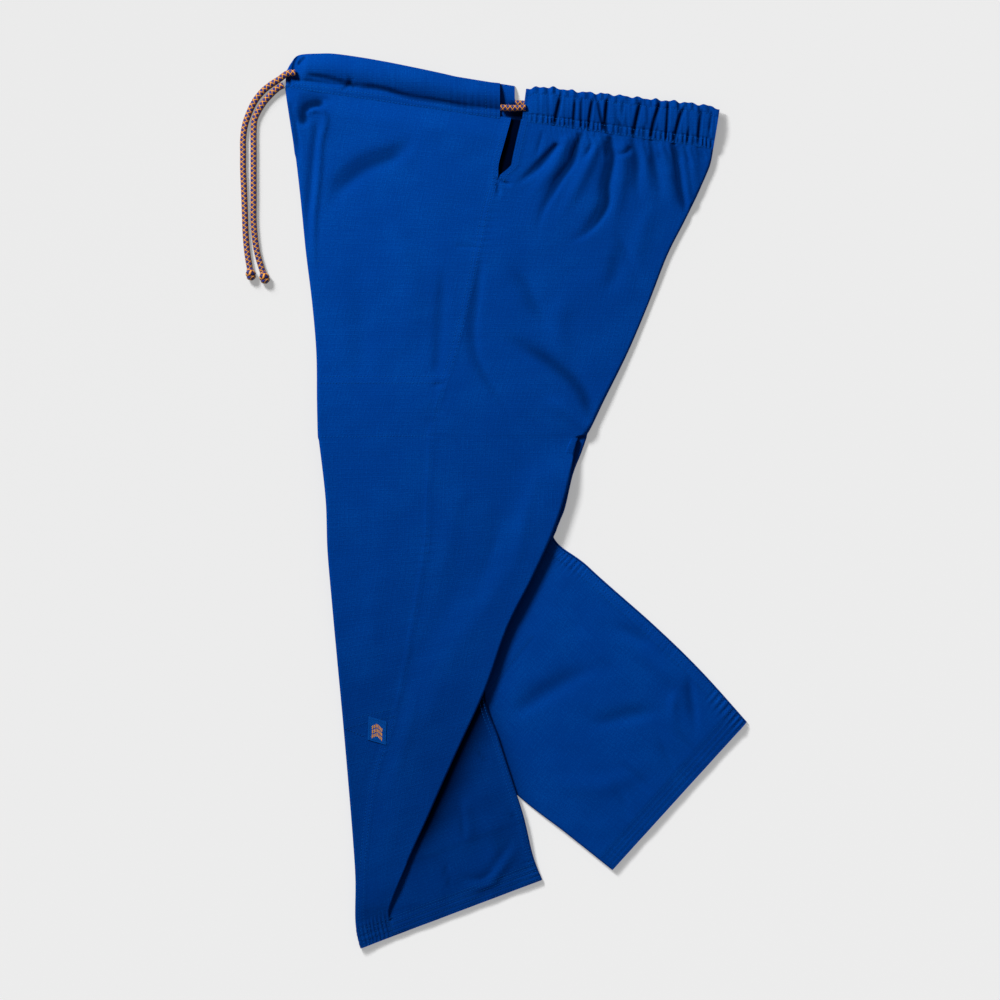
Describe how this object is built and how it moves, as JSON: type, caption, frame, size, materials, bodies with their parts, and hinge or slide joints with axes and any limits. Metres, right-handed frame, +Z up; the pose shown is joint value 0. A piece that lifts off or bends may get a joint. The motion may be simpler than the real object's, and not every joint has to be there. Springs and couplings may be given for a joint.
{
  "type": "jiu-jitsu gi trousers",
  "caption": "Blue cotton martial-arts trousers laid flat on their side, with a drawstring waist, gathered elastic back, side slit and reinforced knees.",
  "frame": {"origin": "on the surface the garment lies on, under the middle of the laid garment without its loose drawstring ends", "axes": "+X to the right of the laid garment, from its front edge to its back edge; +Y along it, from the hems to the waist; +Z up from the surface"},
  "size_m": [0.5823, 1.028, 0.0149],
  "materials": {
    "cotton": "matt royal blue cotton with a fine ripstop weave",
    "cord": "braided cord, navy with an orange lattice",
    "label": "smooth woven label with a plain orange motif"
  },
  "bodies": {
    "root": {"near_front_panel": "cotton", "near_back_panel": "cotton", "far_front_panel": "cotton", "far_back_panel": "cotton", "near_knee_patch": "cotton", "far_knee_patch": "cotton", "near_front_waistband": "cotton", "far_front_waistband": "cotton", "near_back_waistband": "cotton", "far_back_waistband": "cotton", "crotch_gusset": "cotton", "shin_label": "label", "drawstring_end_a": "cord", "drawstring_knot_a": "cord", "drawstring_end_b": "cord", "drawstring_knot_b": "cord", "drawstring_at_near_slit": "cord", "drawstring_at_far_slit": "cord"}
  },
  "joints": []
}
